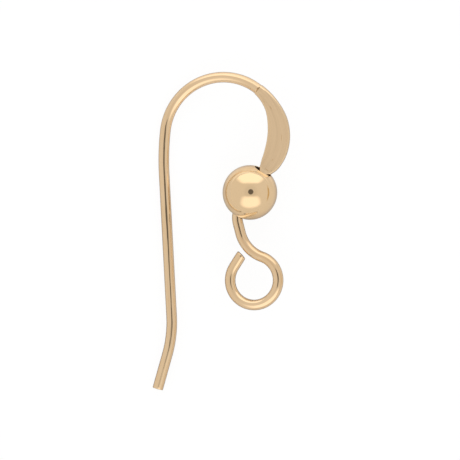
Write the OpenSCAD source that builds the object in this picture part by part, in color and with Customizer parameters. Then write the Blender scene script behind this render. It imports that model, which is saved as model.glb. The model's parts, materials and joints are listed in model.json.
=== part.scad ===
// Ball ear wire: one bent and part-flattened round wire that runs through a hollow ball bead.
// It lies on its side on the plane z = 0, carried by the bead, the tail's tip and the shoulder.
// Seen from above, +Y is up the ear wire and +X runs from its leg to its bead.

/* [Wire] */
// Diameter of the drawn round wire
wire_d = 0.6; // [0.5:0.02:0.7]
// How much thinner bending draws the wire, all round
bend_thinning = 0.006; // [0.004:0.001:0.02]

/* [Tail and leg] */
// Straight length of the tail, the end that goes into the ear first
tail_len = 2.05; // [1:0.05:3.5]
// Bevel round the tail's tip
tip_bevel = 0.07; // [0.03:0.01:0.12]
// Radius of the bend between tail and leg, on the wire's centre line
tail_bend_r = 6.5; // [3:0.1:10]
// Turn of that bend, in degrees
tail_turn = 19.2; // [8:0.2:30]
// Straight length of the leg behind the ear
leg_len = 8.05; // [6:0.05:11]

/* [Arch] */
// Radius of the slack bend where the leg meets the arch
shoulder_r = 15; // [10:0.5:22]
// Turn of that slack bend, in degrees
shoulder_turn = 9.4; // [6:0.2:14]
// Radius of the arch's back half
back_r = 3.4; // [2.9:0.05:4]
// Turn of the arch's back half, in degrees
back_turn = 103.6; // [96:0.2:110]
// Radius of the arch's front half
front_r = 3.17; // [2.9:0.01:3.7]
// Turn of the arch's front half, in degrees
front_turn = 106.2; // [100:0.2:112]
// Straight neck from the bead's centre up to the arch
neck_len = 1.83; // [1.7:0.01:2.4]

/* [Flattened front] */
// Length of the pressed stretch, from the bead's hole up the arch
press_len = 5.57; // [4.6:0.01:6.2]
// Distance from the bead's hole to the widest place
press_peak = 1.75; // [1.2:0.05:2.2]
// Width of the pressed stretch at its widest
press_w = 1.33; // [1:0.01:1.5]
// Depth of pressing where the dies begin, as a share of the full spread
die_edge = 0.035; // [0.025:0.005:0.08]

/* [Bead] */
// Outside diameter of the bead
bead_d = 3.1; // [2.7:0.05:3.6]
// Wall of the hollow bead
bead_wall = 0.25; // [0.15:0.01:0.35]
// Diameter of the hole through the bead
bead_hole_d = 1.06; // [1:0.01:1.25]
// Room beside the pressed stretch where it goes into the hole, each side
seat_gap = 0.16; // [0.13:0.01:0.18]
// Lean of the wire inside the bead, in degrees
bead_lean = 34.7; // [30:0.1:40]
// How far the loose bead leans back from the wire, in degrees
bead_cock = 3; // [0:0.1:3.4]

/* [Stem and drop loop] */
// Distance from the bead's centre to the start of the kink below it
kink_drop = 0.84; // [0.75:0.01:1]
// Radius of the kink that holds the bead up
kink_r = 1.25; // [1:0.05:1.5]
// Turn of the kink, in degrees
kink_turn = 50.6; // [42:0.2:56]
// Straight length of the stem
stem_len = 0.58; // [0.4:0.01:1.2]
// Radius of the stem's sweep into the loop
sweep_r = 1.95; // [1.6:0.05:2.4]
// Turn of that sweep, in degrees
sweep_turn = 56.5; // [50:0.5:62]
// Radius of the drop loop, on the wire's centre line
loop_r = 1.4; // [1.25:0.01:1.6]
// Turn of the drop loop, in degrees
loop_turn = 284; // [279:0.5:290]
// Gap between the loop's cut end and the stem
loop_gap = 0.2; // [0.08:0.01:0.25]
// Bevel round the loop's cut end
cut_bevel = 0.03; // [0.02:0.01:0.06]

/* [As it lies] */
// Turn of the ear wire on the surface, in degrees clockwise from +Y
lie_turn = 1.5; // [-10:0.5:10]

/* [Hidden] */
$fn = 96;

wire_gold = [0.85, 0.72, 0.53];
bead_gold = [0.89, 0.76, 0.55];

wire_r = wire_d / 2;
bent_r = wire_r - bend_thinning;
bead_r = bead_d / 2;
hole_r = bead_hole_d / 2;
// Neighbouring stretches of wire run this far into each other.
lap = 0.05;

// The wire is drawn in its own plane, with the bead's centre at the origin.
// A pose on its centre line is [x, y, heading], with headings in degrees clockwise from +Y.
// A positive turn bends the wire clockwise, and a negative one the other way.
function ahead(h) = [sin(h), cos(h)];
function beside(h) = [cos(h), -sin(h)];
function arc_turn(r, length) = length / r * 180 / PI;
function straight_on(pose, length) =
    let (step = length * ahead(pose[2]))
    [pose[0] + step[0], pose[1] + step[1], pose[2]];
function pivot(pose, r, turn) =
    let (arm = sign(turn) * r * beside(pose[2]))
    [pose[0] + arm[0], pose[1] + arm[1]];
function bent_on(pose, r, turn) =
    let (centre = pivot(pose, r, turn), h = pose[2] + turn, arm = sign(turn) * r * beside(h))
    [centre[0] - arm[0], centre[1] - arm[1], h];
function bent_back(pose, r, turn, length) =
    let (back = sign(turn) * arc_turn(r, length), centre = pivot(pose, r, turn),
         h = pose[2] - back, arm = sign(turn) * r * beside(h))
    [centre[0] - arm[0], centre[1] - arm[1], h];

// Up from the bead: neck, arch, shoulder, leg and tail
bead_up = [0, 0, bead_lean];
at_front = straight_on(bead_up, neck_len);
at_back = bent_on(at_front, front_r, -front_turn);
at_shoulder = bent_on(at_back, back_r, -back_turn);
at_leg = bent_on(at_shoulder, shoulder_r, -shoulder_turn);
at_tail_bend = straight_on(at_leg, leg_len);
at_tail = bent_on(at_tail_bend, tail_bend_r, tail_turn);
at_tip = straight_on(at_tail, tail_len);

// Down from the bead: kink, stem, sweep and drop loop
bead_down = [0, 0, bead_lean + 180];
at_kink = straight_on(bead_down, kink_drop);
at_stem = bent_on(at_kink, kink_r, -kink_turn);
at_sweep = straight_on(at_stem, stem_len);
at_loop = bent_on(at_sweep, sweep_r, -sweep_turn);
at_loop_end = bent_on(at_loop, loop_r, loop_turn);

// The loop's straight end stops where its corner comes within the gap of the sweep's outside.
loop_corner = [at_loop_end[0], at_loop_end[1]] + wire_r * beside(at_loop_end[2])
    - pivot(at_sweep, sweep_r, -sweep_turn);
corner_stop = sweep_r + wire_r + loop_gap;
corner_run = loop_corner * ahead(at_loop_end[2]);
loop_end_len = -corner_run
    - sqrt(corner_run * corner_run - loop_corner * loop_corner + corner_stop * corner_stop);

// The pose at a distance up the wire from the bead's centre, as far as the arch's back half
front_len = front_r * front_turn * PI / 180;
function climb(length) =
    length <= neck_len ? straight_on(bead_up, length)
    : length <= neck_len + front_len
        ? bent_on(at_front, front_r, -arc_turn(front_r, length - neck_len))
        : bent_on(at_back, back_r, -arc_turn(back_r, length - neck_len - front_len));

// Pressing moves metal sideways only, so a section keeps the area of the round wire.
corner_share = 1 - PI / 4;
function pressed_t(w) =
    (w - sqrt(w * w - corner_share * PI * wire_d * wire_d)) / (2 * corner_share);

// Outline of the pressed stretch, from the bead's hole to the widest place.
// Columns: share of that length, share of the spread from the seat's width
BELOW_PEAK = [[0, 0], [0.05, 0.09], [0.12, 0.3], [0.21, 0.52], [0.35, 0.7], [0.5, 0.82],
    [0.65, 0.92], [0.82, 0.98], [1, 1]];
// The rest of it, from the widest place to the dies' edge.
// Columns: share of that length, share of the spread from the round wire
ABOVE_PEAK = [[0.08, 0.99], [0.16, 0.95], [0.23, 0.9], [0.3, 0.835], [0.37, 0.745],
    [0.44, 0.62], [0.51, 0.505], [0.58, 0.385], [0.65, 0.3], [0.72, 0.22], [0.79, 0.16],
    [0.86, 0.11], [0.93, 0.065]];

hole_mouth = sqrt(bead_r * bead_r - hole_r * hole_r);
seat_w = bead_hole_d - 2 * seat_gap;
spread = press_w - wire_d;
edge_w = wire_d + die_edge * spread;
core_w = 2 * (bent_r - bend_thinning);
// Length of the pressed stretch that is hidden in the bead
press_hidden = 0.35;
low_edge = hole_mouth - press_hidden;
high_edge = hole_mouth + press_len;

// Rings of the pressed stretch: distance up from the bead's centre, and width.
// Both ends run on inside the round wire as a slightly thinner round core.
PRESS_RINGS = concat(
    [[low_edge - 2 * lap, core_w], [low_edge - lap / 2, edge_w]],
    [[hole_mouth - press_hidden / 2, (edge_w + seat_w) / 2]],
    [for (row = BELOW_PEAK)
        [hole_mouth + press_peak * row[0], seat_w + (press_w - seat_w) * row[1]]],
    [for (row = ABOVE_PEAK)
        [hole_mouth + press_peak + (press_len - press_peak) * row[0], wire_d + spread * row[1]]],
    [[high_edge + lap / 2, edge_w], [high_edge + 2 * lap, core_w]]);

SIDES = 24;
function ring_points(pose, w, t) =
    [for (i = [0 : SIDES - 1])
        let (a = (i + 0.5) * 360 / SIDES,
             across = (sign(cos(a)) * (w - t) + t * cos(a)) / 2 * beside(pose[2]))
        [pose[0] + across[0], pose[1] + across[1], t / 2 * sin(a)]];
function ring_t(w) = w > wire_d ? pressed_t(w) : w;

module pressed_front() {
    count = len(PRESS_RINGS);
    points = [for (ring = PRESS_RINGS) each ring_points(climb(ring[0]), ring[1], ring_t(ring[1]))];
    first_cap = [for (i = [SIDES - 1 : -1 : 0]) i];
    last_cap = [for (i = [0 : SIDES - 1]) (count - 1) * SIDES + i];
    walls = [for (k = [0 : count - 2], i = [0 : SIDES - 1])
        let (next = (i + 1) % SIDES)
        [k * SIDES + i, k * SIDES + next, (k + 1) * SIDES + next, (k + 1) * SIDES + i]];
    polyhedron(points, concat([first_cap], walls, [last_cap]), convexity = 6);
}

// A straight stretch from a pose, with a bevel round its far end where that is a cut end
module straight_wire(pose, length, gauge_r = wire_r, bevel = 0)
    translate([pose[0], pose[1], 0])
        rotate([0, 0, -pose[2]])
            rotate([-90, 0, 0])
                rotate_extrude()
                    polygon([[0, 0], [gauge_r, 0], [gauge_r, length - bevel],
                        [gauge_r - bevel, length], [0, length]]);

module curved_wire(pose, r, turn, gauge_r = wire_r) {
    centre = pivot(pose, r, turn);
    start_angle = turn > 0 ? 180 - pose[2] - turn : -pose[2];
    translate([centre[0], centre[1], 0])
        rotate([0, 0, start_angle])
            rotate_extrude(angle = abs(turn))
                translate([r, 0])
                    circle(r = gauge_r);
}

// A bend that is drawn a little thinner and laps into the full-gauge stretches at its ends
module drawn_bend(pose, r, turn)
    curved_wire(bent_back(pose, r, turn, lap), r,
        turn + sign(turn) * 2 * arc_turn(r, lap), bent_r);

// The wire above the pressed front: the rest of the arch, then shoulder, leg and tail
module back_wire() {
    above_press = climb(high_edge + lap);
    pressed_turn = arc_turn(front_r, high_edge + lap - neck_len);
    drawn_bend(above_press, front_r, pressed_turn - front_turn);
    curved_wire(at_back, back_r, -back_turn);
    drawn_bend(at_shoulder, shoulder_r, -shoulder_turn);
    straight_wire(at_leg, leg_len);
    drawn_bend(at_tail_bend, tail_bend_r, tail_turn);
    straight_wire(at_tail, tail_len, bevel = tip_bevel);
}

// The wire from inside the bead down to the loop's cut end
module drop_wire() {
    straight_wire([at_kink[0], at_kink[1], bead_lean], kink_drop + low_edge);
    drawn_bend(at_kink, kink_r, -kink_turn);
    straight_wire(at_stem, stem_len);
    drawn_bend(at_sweep, sweep_r, -sweep_turn);
    curved_wire(at_loop, loop_r, loop_turn);
    straight_wire(straight_on(at_loop_end, -lap), loop_end_len + lap, bent_r, cut_bevel);
}

// How it lies: the tail's tip and the shoulder touch the surface along one line, and the bead
// holds the other side up. The line's heading and the tilt about it follow from the sizes.
shoulder_pivot = pivot(at_shoulder, shoulder_r, -shoulder_turn);
from_tip = shoulder_pivot - [at_tip[0], at_tip[1]];
rest_line = atan2(from_tip[0], from_tip[1]) - asin(shoulder_r / norm(from_tip));
bead_reach = -([at_tip[0], at_tip[1]] * beside(rest_line));
tilt = asin((bead_r - wire_r) / bead_reach);

// Where a point of the wire's plane lies in plan, with the bead's centre as origin
function in_plan(point) =
    (point * ahead(rest_line)) * ahead(lie_turn)
    + (point * beside(rest_line)) * cos(tilt) * beside(lie_turn);
function spot(pose) = [pose[0], pose[1]];

// Plan extents, which put the origin under the middle of the ear wire
WALK_STEPS = 50;
arch_walk = [for (i = [0 : WALK_STEPS])
    bent_on(at_back, back_r, -back_turn * i / WALK_STEPS)];
press_side = [for (ring = PRESS_RINGS)
    let (pose = climb(ring[0])) spot(pose) + ring[1] / 2 * beside(pose[2])];
tip_rise = (wire_r - tip_bevel) * abs(sin(at_tip[2] - 180 - rest_line + lie_turn));
x_low = min([for (pose = [at_tip, at_tail, at_leg, at_shoulder]) in_plan(spot(pose))[0]]) - wire_r;
x_high = max([for (point = press_side) in_plan(point)[0]]);
y_low = in_plan(spot(at_tip))[1] - tip_rise;
y_high = max([for (pose = arch_walk) in_plan(spot(pose))[1]]) + wire_r;

module lay_down()
    translate([-(x_low + x_high) / 2, -(y_low + y_high) / 2, bead_r])
        rotate(a = -tilt, v = [sin(lie_turn), cos(lie_turn), 0])
            rotate([0, 0, rest_line - lie_turn])
                children();

module ear_hook()
    color(wire_gold)
        lay_down() {
            back_wire();
            pressed_front();
            drop_wire();
        }

// A hollow ball, drilled through along the wire but leaning back a little on it
module bead()
    color(bead_gold)
        lay_down()
            rotate([0, 0, -(bead_lean - bead_cock)])
                rotate([-90, 0, 0])
                    difference() {
                        sphere(r = bead_r);
                        sphere(r = bead_r - bead_wall);
                        cylinder(r = hole_r, h = bead_d + lap, center = true);
                    }

ear_hook();
bead();
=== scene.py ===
"""Ball ear wire of gold-filled wire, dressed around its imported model.

The bent wire and the loose ball bead are modelled in the wire's own plane and laid down where the
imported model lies. Sizes are in millimetres and headings in degrees clockwise from the plane's up
direction, until a mesh is made in metres.
"""

import json
import logging
import math
from dataclasses import dataclass
from enum import Enum
from typing import Any, Iterable, Sequence

import bmesh
import bpy
from mathutils import Matrix, Vector


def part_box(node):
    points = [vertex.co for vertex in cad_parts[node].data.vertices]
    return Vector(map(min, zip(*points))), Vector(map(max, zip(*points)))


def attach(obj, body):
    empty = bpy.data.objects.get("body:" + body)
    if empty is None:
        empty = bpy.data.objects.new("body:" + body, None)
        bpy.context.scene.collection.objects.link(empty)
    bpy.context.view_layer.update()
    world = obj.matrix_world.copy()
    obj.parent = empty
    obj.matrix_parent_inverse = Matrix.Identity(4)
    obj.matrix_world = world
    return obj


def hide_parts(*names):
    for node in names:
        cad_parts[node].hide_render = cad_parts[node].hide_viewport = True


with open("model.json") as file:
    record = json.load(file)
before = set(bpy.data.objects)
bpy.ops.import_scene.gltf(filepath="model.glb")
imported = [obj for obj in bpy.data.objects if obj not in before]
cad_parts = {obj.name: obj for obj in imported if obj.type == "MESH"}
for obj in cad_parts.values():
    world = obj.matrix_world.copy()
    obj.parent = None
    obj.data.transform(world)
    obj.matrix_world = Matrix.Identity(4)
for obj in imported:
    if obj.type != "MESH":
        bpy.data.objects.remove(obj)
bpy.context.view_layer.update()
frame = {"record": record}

MM = 0.001
BODY = "root"
RUN_MAP = "wire_run"
WHITE = (1.0, 1.0, 1.0, 1.0)
# How near two measures have to be to count as the same, and two points to be one.
NEAR = 1e-6
TOUCHING = 1e-7
log = logging.getLogger("ear_wire")

Pair = tuple[float, float]
Triple = tuple[float, float, float]
Socket = bpy.types.NodeSocket
Material = bpy.types.Material
BMesh = bmesh.types.BMesh
Vert = bmesh.types.BMVert
Edge = bmesh.types.BMEdge


class Slot(Enum):
    """The record's material slots."""

    WIRE = "wire_gold"
    BEAD = "bead_gold"


class PieceName(Enum):
    """The pieces of the ear wire, in a maker's words."""

    WIRE = "bent_wire"
    BALL = "ball_bead"
    TABLE = "studio_table"


class Mark(Enum):
    """What the wire's mesh tells its finish at each vertex."""

    PRESSED = "pressed"
    DIE_MARK_SHADE = "die_mark_shade"
    FLAT_REACH = "flat_reach"


@dataclass(frozen=True)
class Pose:
    """A place on a centre line in the wire's plane, and the heading there.

    Attributes:
        x: Distance to the right of the ball's centre, in millimetres.
        y: Distance above the ball's centre, in millimetres.
        heading: Degrees clockwise from the plane's up direction.
    """

    x: float
    y: float
    heading: float

    def spot(self) -> Vector:
        """The place alone."""
        return Vector((self.x, self.y))

    def ahead(self) -> Vector:
        """Unit direction of travel."""
        turn = math.radians(self.heading)
        return Vector((math.sin(turn), math.cos(turn)))

    def beside(self) -> Vector:
        """Unit direction to the right of travel."""
        turn = math.radians(self.heading)
        return Vector((math.cos(turn), -math.sin(turn)))

    def pivot(self, radius: float, turn: float) -> Vector:
        """Centre of a bend that starts here, on the right where its turn is positive."""
        return self.spot() + math.copysign(radius, turn) * self.beside()


@dataclass(frozen=True)
class Stretch:
    """One stretch of centre line, straight where its turn is nothing.

    Attributes:
        length: Length along the centre line, in millimetres.
        radius: Radius of the bend, in millimetres.
        turn: Degrees of the bend, clockwise where positive.
    """

    length: float
    radius: float = 0.0
    turn: float = 0.0

    @classmethod
    def bend(cls, radius: float, turn: float) -> "Stretch":
        """A bend of a radius and a turn."""
        return cls(radius * math.radians(abs(turn)), radius, turn)

    def part(self, length: float) -> "Stretch":
        """The first length of this stretch, with its share of the turn."""
        return Stretch(length, self.radius, self.turn * length / self.length)

    def end(self, pose: Pose) -> Pose:
        """The pose at the far end.

        Args:
            pose: Where the stretch starts.

        Returns:
            Where it ends.
        """
        if not self.turn:
            spot = pose.spot() + self.length * pose.ahead()
            return Pose(spot.x, spot.y, pose.heading)
        heading = pose.heading + self.turn
        turned = Pose(0.0, 0.0, heading)
        arm = math.copysign(self.radius, self.turn) * turned.beside()
        spot = pose.pivot(self.radius, self.turn) - arm
        return Pose(spot.x, spot.y, heading)


@dataclass(frozen=True)
class WirePlane:
    """The plane that the wire is bent in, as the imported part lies.

    Attributes:
        middle: The ball's centre, in metres in the row frame.
        up: Direction of heading 0.
        across: Direction of heading 90.
        face: The plane's normal, on the side that is seen.
    """

    middle: Vector
    up: Vector
    across: Vector
    face: Vector

    @classmethod
    def as_packed(cls, rest_heading: float) -> "WirePlane":
        """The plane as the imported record's mounts and the bead's node give it.

        Args:
            rest_heading: Heading of the line that the wire rests on.

        Returns:
            The plane.
        """
        mounts = {mount["name"]: mount for mount in frame["record"]["mounts"]}
        face = Vector(mounts["drop_loop"]["axis"]).normalized()
        rest = -Vector(mounts["ear_seat"]["axis"]).normalized()
        rest = (rest - rest.dot(face) * face).normalized()
        turn = Matrix.Rotation(math.radians(rest_heading), 3, face)
        up = turn @ rest
        low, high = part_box("bead")
        return cls((low + high) / 2, up, up.cross(face), face)

    def point(self, spot: Vector) -> Vector:
        """A place of the plane, in metres in the row frame."""
        return self.middle + MM * (spot.x * self.across + spot.y * self.up)

    def direction(self, heading: float) -> Vector:
        """Unit vector of a heading, in the row frame."""
        turn = math.radians(heading)
        return math.sin(turn) * self.across + math.cos(turn) * self.up

    def at(self, pose: Pose) -> tuple[Vector, Vector, Vector]:
        """The point of a pose, and the directions ahead of it and beside it."""
        heading = pose.heading
        return self.point(pose.spot()), self.direction(heading), self.direction(heading + 90)


class Graph:
    """A node tree that is filled a node at a time.

    Attributes:
        tree: The node tree.
    """

    def __init__(self, tree: bpy.types.NodeTree) -> None:
        """Empties a tree and keeps it."""
        tree.nodes.clear()
        self.tree = tree

    def feed(self, node: Any, inputs: dict[Any, Any]) -> Any:
        """Sets or links a node's inputs.

        Args:
            node: The node.
            inputs: Values or sockets for its inputs, by name or number.

        Returns:
            The node.
        """
        for key, value in inputs.items():
            if isinstance(value, Socket):
                self.tree.links.new(value, node.inputs[key])
            else:
                node.inputs[key].default_value = value
        return node

    def add(self, kind: str, inputs: dict[Any, Any] | None = None, **settings: Any) -> Any:
        """Adds a node.

        Args:
            kind: The node's type.
            inputs: Values or sockets for its inputs, by name or number.
            settings: The node's own settings.

        Returns:
            The node.
        """
        node = self.tree.nodes.new(kind)
        for name, value in settings.items():
            setattr(node, name, value)
        return self.feed(node, inputs or {})

    def place(self, group: bpy.types.NodeTree, inputs: dict[str, Any]) -> Any:
        """Outputs of a node that places a shared group here."""
        return self.add("ShaderNodeGroup", inputs, node_tree=group).outputs

    def here(self) -> Socket:
        """The place on the object, in metres."""
        return self.add("ShaderNodeTexCoord").outputs["Object"]

    def marked(self, mark: Mark) -> Socket:
        """What the mesh says of a mark."""
        return self.add("ShaderNodeAttribute", attribute_name=mark.value).outputs["Fac"]

    def math(self, operation: str, *values: Any, clamp: bool = False) -> Socket:
        """Result of a sum on numbers or sockets, kept from 0 to 1 where it is clamped."""
        inputs = dict(enumerate(values))
        return self.add("ShaderNodeMath", inputs, operation=operation, use_clamp=clamp).outputs[0]

    def off(self, value: Socket, middle: float) -> Socket:
        """How far a value is from a middle."""
        return self.math("ABSOLUTE", self.math("SUBTRACT", value, middle))

    def dot(self, vector: Socket, axis: Sequence[float]) -> Socket:
        """How far a vector runs along an axis."""
        inputs = {0: vector, 1: tuple(axis)}
        return self.add("ShaderNodeVectorMath", inputs, operation="DOT_PRODUCT").outputs["Value"]

    def ease(
        self, value: Any, start: float, end: float, low: float = 0.0, high: float = 1.0
    ) -> Socket:
        """A smooth step from one value to another.

        Args:
            value: The socket that is read.
            start: Where the step starts.
            end: Where the step ends.
            low: Result before the step.
            high: Result after the step.

        Returns:
            The result's socket.
        """
        inputs = {"Value": value, "From Min": start, "From Max": end, "To Min": low, "To Max": high}
        node = self.add("ShaderNodeMapRange", inputs, interpolation_type="SMOOTHSTEP")
        return node.outputs["Result"]

    def bump(self, height: Socket, depth: float, under: Socket | None = None) -> Socket:
        """A normal that follows a height.

        Args:
            height: The height's socket, from 0 to 1.
            depth: Its depth, in metres.
            under: The normal that it adds to, or none.

        Returns:
            The normal's socket.
        """
        inputs = {"Strength": 1.0, "Distance": depth, "Height": height}
        if under is not None:
            inputs["Normal"] = under
        return self.add("ShaderNodeBump", inputs).outputs["Normal"]

    def scaled(self, vector: Socket, scale: Triple) -> Socket:
        """A vector scaled along each axis."""
        return self.add("ShaderNodeMapping", {"Vector": vector, "Scale": scale}).outputs["Vector"]

    def noise(
        self, vector: Socket, scale: float, detail: float = 2.0, twist: float = 0.0
    ) -> Socket:
        """Soft noise from 0 to 1, by its scale, octaves and distortion."""
        inputs = {"Vector": vector, "Scale": scale, "Detail": detail, "Distortion": twist}
        return self.add("ShaderNodeTexNoise", inputs).outputs["Fac"]

    def blend(self, share: Any, first: Any, second: Any) -> Socket:
        """A colour between two colours.

        Args:
            share: Share of the second colour.
            first: The first colour or socket.
            second: The second colour or socket.

        Returns:
            The mixed colour's socket.
        """
        first, second = ((*c, 1.0) if isinstance(c, tuple) else c for c in (first, second))
        inputs = {0: share, 6: first, 7: second}
        return self.add("ShaderNodeMix", inputs, data_type="RGBA").outputs[2]

    def grey(self, level: Socket) -> Socket:
        """The grey of a level."""
        return self.add("ShaderNodeCombineColor", {0: level, 1: level, 2: level}).outputs[0]

    def for_camera(self, shader: Any, seen: Any) -> Socket:
        """A shader that gives way to another one where the camera sees it directly.

        Args:
            shader: The shader node for light and reflections.
            seen: The shader node for the camera.

        Returns:
            The mixed shader's socket.
        """
        direct = self.add("ShaderNodeLightPath").outputs["Is Camera Ray"]
        inputs = {0: direct, 1: shader.outputs[0], 2: seen.outputs[0]}
        return self.add("ShaderNodeMixShader", inputs).outputs[0]


def start_material(name: str) -> tuple[Material, Graph]:
    """Starts a material with an empty node tree.

    Args:
        name: The material's name.

    Returns:
        The material and its graph.
    """
    material = bpy.data.materials.new(name)
    material.use_nodes = True
    return material, Graph(material.node_tree)


def start_group(
    name: str, inputs: Sequence[tuple[str, str]], outputs: Sequence[tuple[str, str]]
) -> tuple[Graph, Any, Any]:
    """Starts a shader node group with named sockets.

    Args:
        name: The group's name.
        inputs: Name and socket type of each input.
        outputs: Name and socket type of each output.

    Returns:
        The group's graph, its Group Input node and its Group Output node.
    """
    tree = bpy.data.node_groups.new(name, "ShaderNodeTree")
    graph = Graph(tree)
    for label, kind in inputs:
        tree.interface.new_socket(name=label, in_out="INPUT", socket_type=kind)
    for label, kind in outputs:
        tree.interface.new_socket(name=label, in_out="OUTPUT", socket_type=kind)
    return graph, graph.add("NodeGroupInput"), graph.add("NodeGroupOutput")


FLOAT, VECTOR, COLOUR = "NodeSocketFloat", "NodeSocketVector", "NodeSocketColor"


class GoldEffects:
    """The shader node groups that the gold finishes share. Their scales are per metre.

    Attributes:
        warm_drift: Slow drift between two golds.
        handling: Hairlines from handling.
        ripple: Slow unevenness of polishing by hand.
    """

    def __init__(self) -> None:
        """Builds the groups once."""
        self.warm_drift = self._warm_drift()
        self.handling = self._handling()
        self.ripple = self._ripple()

    @staticmethod
    def _warm_drift() -> bpy.types.NodeTree:
        """Slow drift between two golds, with a fine cloud on it.

        Returns:
            The group.
        """
        graph, given, made = start_group(
            "warm_drift",
            [("Vector", VECTOR), ("Pale gold", COLOUR), ("Deep gold", COLOUR), ("Grain", FLOAT)],
            [("Color", COLOUR), ("Cloud", FLOAT)],
        )
        here, pale, deep, amount = given.outputs[:4]
        slow = graph.noise(here, scale=700.0, detail=3.0, twist=0.6)
        fine = graph.noise(here, scale=5200.0, detail=4.0)
        grain = graph.math("MULTIPLY", graph.math("SUBTRACT", fine, 0.5), amount)
        cloud = graph.math("ADD", graph.ease(slow, start=0.34, end=0.66), grain, clamp=True)
        graph.feed(made, {"Color": graph.blend(cloud, pale, deep), "Cloud": cloud})
        return graph.tree

    @staticmethod
    def _handling() -> bpy.types.NodeTree:
        """Two sets of crossing hairlines from handling, as a mask and a height.

        Returns:
            The group.
        """
        graph, given, made = start_group(
            "handling_hairlines",
            [("Vector", VECTOR), ("Amount", FLOAT)],
            [("Mask", FLOAT), ("Height", FLOAT)],
        )
        here, amount = given.outputs[:2]
        strands = []
        for turn in (0.5, 1.9):
            drawn_out = {
                "Vector": here,
                "Rotation": (turn, 0.7 * turn, 1.3 * turn),
                "Scale": (900.0, 9000.0, 9000.0),
            }
            turned = graph.add("ShaderNodeMapping", drawn_out).outputs["Vector"]
            strand = graph.noise(turned, scale=1.0, detail=1.0, twist=0.25)
            strands.append(graph.ease(strand, start=0.66, end=0.74))
        mask = graph.math("MULTIPLY", graph.math("MAXIMUM", *strands), amount, clamp=True)
        graph.feed(made, {"Mask": mask, "Height": graph.math("MULTIPLY", mask, -1.0)})
        return graph.tree

    @staticmethod
    def _ripple() -> bpy.types.NodeTree:
        """Slow unevenness that polishing by hand leaves, as a height.

        Returns:
            The group.
        """
        graph, given, made = start_group("hand_ripple", [("Vector", VECTOR)], [("Height", FLOAT)])
        broad = graph.noise(given.outputs[0], scale=1300.0, detail=2.0, twist=0.3)
        small = graph.noise(given.outputs[0], scale=4200.0, detail=1.0)
        small_share = 0.12
        graph.feed(made, {"Height": graph.math("MULTIPLY_ADD", small, small_share, broad)})
        return graph.tree


@dataclass(frozen=True)
class Speck:
    """A small darker spot on the pressed flat. Some are dirty marks and some are painted shade.

    Attributes:
        across: Distance from the flat's middle line, in millimetres.
        along: Distance up the wire from the ball's centre, in millimetres.
        width: Half its width, in millimetres.
        length: Half its length, in millimetres.
    """

    across: float
    along: float
    width: float
    length: float

    def mask(self, graph: Graph, across: Socket, along: Socket) -> Socket:
        """Where the spot is, fading from its middle.

        Args:
            graph: The material's graph.
            across: Millimetres round the wire.
            along: Millimetres along the wire.

        Returns:
            The stain's mask.
        """
        x = graph.math("DIVIDE", graph.math("SUBTRACT", across, self.across), self.width)
        y = graph.math("DIVIDE", graph.math("SUBTRACT", along, self.along), self.length)
        spread = graph.math("ADD", graph.math("MULTIPLY", x, x), graph.math("MULTIPLY", y, y))
        return graph.ease(spread, start=1.0, end=0.1, high=0.55)


@dataclass(frozen=True)
class PressedLook:
    """What the dies leave on the pressed front of the wire, with painted shade at the dies' step
    and in two spots, and a painted highlight along the flat's rims.

    Attributes:
        smooth: Colour where the die was smooth.
        scuffed: Colour in the scuffed streaks.
        streaks: Scale of the streaks round and along the wire, per millimetre.
        stain_and_shade: Colour of the dirty marks and of the painted shade spots.
        die_mark_shade: Dark colour of the line at the dies' edge, the die's mark with painted shade
            of its step.
        rim: Paler colour painted along the flat's rims and by the seat as a highlight.
        rim_width: Width of a rim, in millimetres.
        rim_share: How far a rim's colour shows.
        seat: Distance up the wire to the rim by the ball, in millimetres.
        burnish: Extra roughness on the flat.
        specks: The darker spots. The long one by the flat's inner edge and the thin band by the
            seat are painted shade, the rest are dirty marks.
    """

    smooth: Triple = (0.91, 0.66, 0.405)
    scuffed: Triple = (0.88, 0.632, 0.385)
    streaks: Triple = (4.0, 0.4, 1.0)
    stain_and_shade: Triple = (0.72, 0.46, 0.23)
    die_mark_shade: Triple = (0.47, 0.29, 0.14)
    rim: Triple = (0.95, 0.7, 0.435)
    rim_width: float = 0.08
    rim_share: float = 0.8
    seat: float = 1.5
    burnish: float = 0.09
    specks: tuple[Speck, ...] = (
        Speck(0.034, 2.275, 0.035, 0.09),
        Speck(-0.075, 5.365, 0.05, 0.16),
        Speck(0.2, 3.6, 0.03, 0.25),
        # Painted shade along the flat's inner edge.
        Speck(-0.24, 6.15, 0.09, 0.5),
        # Painted shade in a thin band across the flat by the seat.
        Speck(0.1, 1.64, 0.18, 0.04),
    )

    def tint(self, graph: Graph, flow: Socket, gold: Socket, pressed: Socket) -> Socket:
        """Colours the pressed front.

        Args:
            graph: The material's graph.
            flow: Millimetres round and along the wire.
            gold: The round wire's colour.
            pressed: Mask of the pressed front.

        Returns:
            The colour's socket.
        """
        streak = graph.noise(graph.scaled(flow, self.streaks), scale=1.0, detail=3.0, twist=0.4)
        streak = graph.ease(streak, start=0.4, end=0.66)
        colour = graph.blend(streak, self.smooth, self.scuffed)
        across, along = graph.add("ShaderNodeSeparateXYZ", {0: flow}).outputs[:2]
        # Darker spots: dirty marks, and two of painted shade.
        for speck in self.specks:
            colour = graph.blend(speck.mask(graph, across, along), colour, self.stain_and_shade)
        # A paler rim along the flat's edges and by the seat: a painted highlight.
        reach = graph.marked(Mark.FLAT_REACH)
        inset = graph.math("SUBTRACT", reach, graph.math("ABSOLUTE", across))
        inset = graph.math("MINIMUM", inset, graph.math("SUBTRACT", along, self.seat))
        rim_highlight = graph.ease(inset, self.rim_width, 0.3 * self.rim_width, high=self.rim_share)
        colour = graph.blend(rim_highlight, colour, self.rim)
        colour = graph.blend(pressed, gold, colour)
        # The dark line at the dies' edge: the die's mark, with painted shade of the step.
        return graph.blend(graph.marked(Mark.DIE_MARK_SHADE), colour, self.die_mark_shade)


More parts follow.
